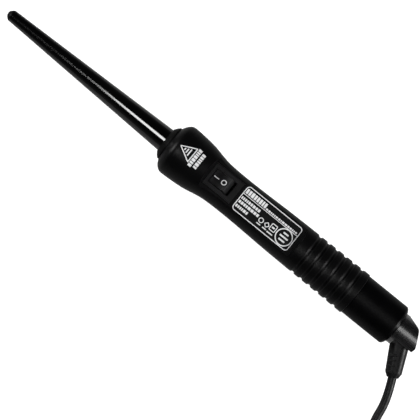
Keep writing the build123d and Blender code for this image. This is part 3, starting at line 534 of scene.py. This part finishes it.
# The label's blank symbols, counted from the outline's left side and top: where the ring and the diamond have
# their middles, the square's sides (left, right, top, bottom), and bars as (start, end, drop, width)
SYMBOL_DROP = 0.0139
RING_PLACE = 0.0220
RING_RADIUS = 0.0017
DIAMOND_PLACE = 0.0272
DIAMOND_REACH = 0.0019
SQUARE_SIDES = (0.0300, 0.0344, 0.0102, 0.0152)
SQUARE_CORNER = 0.0006
SYMBOL_BARS = (
    (0.0203, 0.0237, 0.0172, 0.0008),
    (0.0255, 0.0289, 0.0172, 0.0008),
    (0.0311, 0.0333, 0.0127, 0.0012),
    (0.0298, 0.0348, 0.0175, 0.0009),
)

# The large ring at the label's right side, and the bars inside it as (rise, half length) from its middle
BADGE_INSET = 0.0073
BADGE_DROP = 0.0132
BADGE_RADIUS = 0.0062
BADGE_OUTLINE = 0.0008
BADGE_BARS = ((0.0028, 0.0022), (0.0, 0.0036), (-0.0028, 0.0026))
BADGE_BAR_WIDTH = 0.0012

# The triangle behind the shoulder, its bars as (distance from its apex, half length), and the two rows of
# dashes behind it as (distance from its base, start, end) across the wand
NOTICE_APEX = -0.0315
NOTICE_LENGTH = 0.0110
NOTICE_HALF_WIDTH = 0.0058
NOTICE_OUTLINE = 0.00075
NOTICE_BARS = ((0.0040, 0.0009), (0.0060, 0.0018), (0.0080, 0.0028))
NOTICE_BAR_WIDTH = 0.0009
NOTICE_ROWS = ((0.0024, -0.0076, 0.0070), (0.0064, -0.0064, 0.0060))
NOTICE_ROW_WIDTH = 0.0028
NOTICE_DASH = (0.0010, 0.0021)
NOTICE_GAP = 0.0005
NOTICE_SHORTEST = 0.0008

# The rocker's marks: the bar's two ends and the ring's middle, counted along the wand from the rocker's pin
ON_BAR = (-0.0074, -0.0032)
ON_WIDTH = 0.00065
OFF_PLACE = 0.0010
OFF_RADIUS = 0.0017
OFF_WIDTH = 0.0006


def surface_of(node):
    """A tree to find the height of a CAD node's surface from above."""
    mesh = frame["nodes"][node].data
    corners = [vertex.co.copy() for vertex in mesh.vertices]
    faces = [tuple(polygon.vertices) for polygon in mesh.polygons]
    return BVHTree.FromPolygons(corners, faces)


def on_surface(tree, x, y):
    """The point of the surface under (x, y), raised by the ink's thickness."""
    spot, normal, _, _ = tree.ray_cast(Vector((x, y, RAY_HEIGHT)), Vector((0, 0, -1)))
    if spot is None:
        raise ValueError(f"there is no surface under {x:.4f}, {y:.4f}")
    return spot + normal * INK_THICKNESS


def spaced(points, closed):
    """The same line with a point at every STROKE_STEP or nearer."""
    ends = list(zip(points, points[1:] + points[:1] if closed else points[1:]))
    line = []
    for (x0, y0), (x1, y1) in ends:
        steps = max(1, round(sqrt((x1 - x0) ** 2 + (y1 - y0) ** 2) / STROKE_STEP))
        for step in range(steps):
            share = step / steps
            line.append((x0 + share * (x1 - x0), y0 + share * (y1 - y0)))
    if not closed:
        line.append(points[-1])
    return line


def add_stroke(mesh, tree, points, width, closed=False):
    """A strip of ink of even width along flat (x, y) points, laid on the surface."""
    line = spaced(points, closed)
    count = len(line)
    rows = []
    for index, (x, y) in enumerate(line):
        if closed:
            before, after = line[index - 1], line[(index + 1) % count]
        else:
            before, after = line[max(index - 1, 0)], line[min(index + 1, count - 1)]
        heading = Vector((after[0] - before[0], after[1] - before[1])).normalized()
        row = []
        for side in (-0.5, 0.0, 0.5):
            across = side * width
            row.append(mesh.verts.new(on_surface(tree, x - heading.y * across, y + heading.x * across)))
        rows.append(row)
    pairs = zip(rows, rows[1:] + rows[:1]) if closed else zip(rows, rows[1:])
    for first, second in pairs:
        for side in (0, 1):
            mesh.faces.new((first[side], second[side], second[side + 1], first[side + 1]))


def finish_print(mesh, name, body):
    """The strokes as one thin piece."""
    bmesh.ops.recalc_face_normals(mesh, faces=mesh.faces)
    data = bpy.data.meshes.new(name)
    mesh.to_mesh(data)
    mesh.free()
    piece = bpy.data.objects.new(name, data)
    bpy.context.scene.collection.objects.link(piece)
    thick = piece.modifiers.new("ink", "SOLIDIFY")
    thick.thickness = INK_THICKNESS
    thick.offset = -1
    dress(piece, INK)
    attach(piece, body)


def rounded_box(x0, x1, y0, y1, corner, steps=5):
    """The outline of a box with round corners, as (x, y) points."""
    points = []
    for centre_x, centre_y, start in (
            (x1 - corner, y1 - corner, 0), (x0 + corner, y1 - corner, 90),
            (x0 + corner, y0 + corner, 180), (x1 - corner, y0 + corner, 270)):
        for step in range(steps + 1):
            angle = radians(start + 90 * step / steps)
            points.append((centre_x + corner * cos(angle), centre_y + corner * sin(angle)))
    return points


def ring(x, y, radius, steps=32):
    """A circle, as (x, y) points."""
    return [(x + radius * cos(2 * pi * step / steps), y + radius * sin(2 * pi * step / steps))
            for step in range(steps)]


def dashes(mesh, tree, start, end, y, width, shortest, longest, gap):
    """A row of dashes of uneven length, in place of a line of small print along the wand."""
    x = start
    while x < end - shortest:
        length = min(random.uniform(shortest, longest), end - x)
        add_stroke(mesh, tree, [(x, y), (x + length, y)], width)
        x += length + gap


def label_print():
    """A plain rating panel: an outline, a header strip, rows of dashes and blank symbols."""
    low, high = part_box("rating_label")
    tree = surface_of("rating_label")
    mesh = bmesh.new()
    left, right = low.x + LABEL_INSET, high.x - LABEL_INSET
    bottom, top = low.y + LABEL_INSET, high.y - LABEL_INSET
    outline = rounded_box(left, right, bottom, top, LABEL_CORNER)
    add_stroke(mesh, tree, outline, OUTLINE_WIDTH, closed=True)
    rule = top - RULE_DROP
    add_stroke(mesh, tree, [(left + RULE_INSET, rule), (right - RULE_INSET, rule)], RULE_WIDTH)
    for start, reach, drop, height, shortest, longest, gap in LABEL_ROWS:
        end = right - ROW_END_MARGIN if reach is None else left + reach
        dashes(mesh, tree, left + start, end, top - drop, height, shortest, longest, gap)
    label_symbols(mesh, tree, left, top)
    label_badge(mesh, tree, right - BADGE_INSET, top - BADGE_DROP)
    finish_print(mesh, "label_print", "handle")


def label_symbols(mesh, tree, left, top):
    """Blank symbols: a ring, a diamond and a square, each over a bar, with one more bar in the square."""
    row = top - SYMBOL_DROP
    add_stroke(mesh, tree, ring(left + RING_PLACE, row, RING_RADIUS), OUTLINE_WIDTH, closed=True)
    middle, reach = left + DIAMOND_PLACE, DIAMOND_REACH
    diamond = [(middle - reach, row), (middle, row + reach), (middle + reach, row), (middle, row - reach)]
    add_stroke(mesh, tree, diamond, OUTLINE_WIDTH, closed=True)
    near, far, upper, lower = SQUARE_SIDES
    square = rounded_box(left + near, left + far, top - lower, top - upper, SQUARE_CORNER)
    add_stroke(mesh, tree, square, OUTLINE_WIDTH, closed=True)
    for start, end, drop, width in SYMBOL_BARS:
        add_stroke(mesh, tree, [(left + start, top - drop), (left + end, top - drop)], width)


def label_badge(mesh, tree, x, y):
    """A large ring round three bars."""
    add_stroke(mesh, tree, ring(x, y, BADGE_RADIUS), BADGE_OUTLINE, closed=True)
    for rise, reach in BADGE_BARS:
        add_stroke(mesh, tree, [(x - reach, y + rise), (x + reach, y + rise)], BADGE_BAR_WIDTH)


def notice_print():
    """A plain triangle with a few bars inside it and two rows of dashes across the wand behind it."""
    tree = surface_of("handle_upper_shell")
    mesh = bmesh.new()
    base = NOTICE_APEX + NOTICE_LENGTH
    triangle = [(NOTICE_APEX, 0), (base, NOTICE_HALF_WIDTH), (base, -NOTICE_HALF_WIDTH)]
    add_stroke(mesh, tree, triangle, NOTICE_OUTLINE, closed=True)
    for offset, reach in NOTICE_BARS:
        x = NOTICE_APEX + offset
        add_stroke(mesh, tree, [(x, -reach), (x, reach)], NOTICE_BAR_WIDTH)
    for offset, low, high in NOTICE_ROWS:
        x, y = base + offset, low
        while y < high - NOTICE_SHORTEST:
            length = min(random.uniform(*NOTICE_DASH), high - y)
            add_stroke(mesh, tree, [(x, y), (x, y + length)], NOTICE_ROW_WIDTH)
            y += length + NOTICE_GAP
    finish_print(mesh, "notice_print", "handle")


def rocker_marks():
    """The on and off marks on the rocker's two halves."""
    pin = next(joint["pos_m"][0] for joint in frame["joints"] if joint["name"] == "rocker_tilt")
    tree = surface_of("rocker_button")
    mesh = bmesh.new()
    add_stroke(mesh, tree, [(pin + end, 0) for end in ON_BAR], ON_WIDTH)
    add_stroke(mesh, tree, ring(pin + OFF_PLACE, 0, OFF_RADIUS), OFF_WIDTH, closed=True)
    finish_print(mesh, "rocker_marks", "rocker")


# ---- Strap round the coil ----

# Where the strap's columns of points lie, as shares of its width from its middle, then how far it presses
# into the outer turns, how far it stays off the floor, and how wide its softened edges are
STRAP_COLUMNS = (-0.5, -0.17, 0.17, 0.5)
STRAP_BITE = 0.0003
STRAP_RISE = 0.00005
STRAP_EDGE = 0.0002


def strap_section(steps=6):
    """The strap's path across the coil: a box with round corners, as (radius, height) points."""
    half = TURN_PITCH + CORD_RADIUS - STRAP_BITE + TIE_THICKNESS / 2
    bottom = TIE_THICKNESS / 2 + STRAP_RISE
    top = COIL_TOP - TIE_THICKNESS / 2
    return rounded_box(COIL_RADIUS - half, COIL_RADIUS + half, bottom, top, CORD_RADIUS, steps)


def cord_strap():
    """A band of even thickness, with softened edges, round the coil's whole section."""
    turn = Matrix.Rotation(TIE_ANGLE, 3, "Z")
    mesh = bmesh.new()
    rows = []
    for radius, height in spaced(strap_section(), closed=True):
        row = []
        for side in STRAP_COLUMNS:
            local = Vector((radius, side * TIE_WIDTH, height))
            row.append(mesh.verts.new(COIL_CENTRE + turn @ local))
        rows.append(row)
    for first, second in zip(rows, rows[1:] + rows[:1]):
        for side in range(len(STRAP_COLUMNS) - 1):
            mesh.faces.new((first[side], first[side + 1], second[side + 1], second[side]))
    bmesh.ops.recalc_face_normals(mesh, faces=mesh.faces)
    data = bpy.data.meshes.new("cord_strap")
    mesh.to_mesh(data)
    mesh.free()
    data.shade_smooth()
    piece = bpy.data.objects.new("cord_strap", data)
    bpy.context.scene.collection.objects.link(piece)
    thick = piece.modifiers.new("thickness", "SOLIDIFY")
    thick.thickness = TIE_THICKNESS
    thick.offset = 0
    edge = piece.modifiers.new("edges", "BEVEL")
    edge.width = STRAP_EDGE
    edge.segments = 2
    edge.limit_method = "ANGLE"
    dress(piece, LOOKS["tie_strap"])
    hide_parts("cord_tie")
    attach(piece, "cord_swivel")


# ---- Floor, lights and surroundings ----

FLOOR_SIZE = 12.0
FLOOR_COLOUR = (0.34, 0.34, 0.34)
FLOOR_GLOW = 0.88
BACKDROP = (0.93, 0.93, 0.93)
# The room's two colours, and the heights in its dome, from 0 to 1, between which one turns into the other
ROOM_HORIZON = (0.12, 0.12, 0.123)
ROOM_TOP = (0.008, 0.008, 0.008)
ROOM_RAMP = (0.05, 0.6)

# (name, place, the point that it faces, width, depth, watts): a broad key overhead that draws the line down
# the barrel, one low light past each end of the wand, and a weak one over the swivel
LIGHTS = (
    ("key", (-0.27, -0.57, 2.0), (-0.06, -0.57, 0), 0.80, 0.30, 19),
    ("tip_side", (-1.4, -0.16, 0.60), (-0.03, 0, 0.03), 0.5, 0.5, 26),
    ("cord_side", (1.4, 0.15, 0.7), (0.16, 0, 0.02), 0.5, 0.5, 34),
    ("over_cap", (0.46, -0.1, 2.0), (0.18, -0.1, 0.02), 0.9, 0.30, 3),
)


def seen_share(tree):
    """1 where the camera looks straight at the surface, and 0 in reflections and bounced light."""
    return tree.nodes.new("ShaderNodeLightPath").outputs["Is Camera Ray"]


def make_floor():
    """A plain pale floor that glows a little, like a light table."""
    mesh = bmesh.new()
    bmesh.ops.create_grid(mesh, x_segments=1, y_segments=1, size=FLOOR_SIZE / 2)
    data = bpy.data.meshes.new("floor")
    mesh.to_mesh(data)
    mesh.free()
    floor = bpy.data.objects.new("floor", data)
    bpy.context.scene.collection.objects.link(floor)
    look = Look("floor", FLOOR_COLOUR, 0.9, Specular_IOR_Level=0.1)
    darker = tuple(0.97 * part for part in FLOOR_COLOUR)
    look.colours(look.between(look.noise(3, 2.0), 0, 1), darker, FLOOR_COLOUR)
    look.shader.inputs["Emission Color"].default_value = (1, 1, 1, 1)
    glow = look.maths("MULTIPLY", seen_share(look.tree), FLOOR_GLOW)
    look.tree.links.new(glow, look.shader.inputs["Emission Strength"])
    dress(floor, look.material)


def softbox(name, place, aim, width, depth, watts):
    """A rectangular light facing an aim, with its width level and its depth along the slant of its aim."""
    data = bpy.data.lights.new(name, "AREA")
    data.shape = "RECTANGLE"
    data.size = width
    data.size_y = depth
    data.energy = watts
    light = bpy.data.objects.new(name, data)
    light.location = place
    light.rotation_mode = "QUATERNION"
    light.rotation_quaternion = (Vector(aim) - Vector(place)).to_track_quat("-Z", "Y")
    bpy.context.scene.collection.objects.link(light)


def make_world():
    """A pale backdrop behind the object, and a dim room that darkens overhead in its reflections."""
    world = bpy.data.worlds.new("studio")
    bpy.context.scene.world = world
    world.use_nodes = True
    tree = world.node_tree
    background = tree.nodes["Background"]
    place = tree.nodes.new("ShaderNodeTexCoord")
    parts = tree.nodes.new("ShaderNodeSeparateXYZ")
    room = tree.nodes.new("ShaderNodeValToRGB")
    for stop, position, colour in zip(room.color_ramp.elements, ROOM_RAMP, (ROOM_HORIZON, ROOM_TOP)):
        stop.position = position
        stop.color = (*colour, 1)
    choice = tree.nodes.new("ShaderNodeMix")
    choice.data_type = "RGBA"
    colours = [socket for socket in choice.inputs if socket.type == "RGBA"]
    colours[1].default_value = (*BACKDROP, 1)
    tree.links.new(place.outputs["Generated"], parts.inputs["Vector"])
    tree.links.new(parts.outputs["Z"], room.inputs["Fac"])
    tree.links.new(room.outputs["Color"], colours[0])
    tree.links.new(seen_share(tree), choice.inputs["Factor"])
    chosen = [socket for socket in choice.outputs if socket.type == "RGBA"][0]
    tree.links.new(chosen, background.inputs["Color"])
    background.inputs["Strength"].default_value = 1.0


bpy.context.scene.view_settings.view_transform = "Standard"
make_floor()
make_world()
for light in LIGHTS:
    softbox(*light)

# ---- The pieces ----

free_cord = cord()
dress(free_cord, LOOKS["cord_pvc"])
cord_strap()
label_print()
notice_print()
rocker_marks()
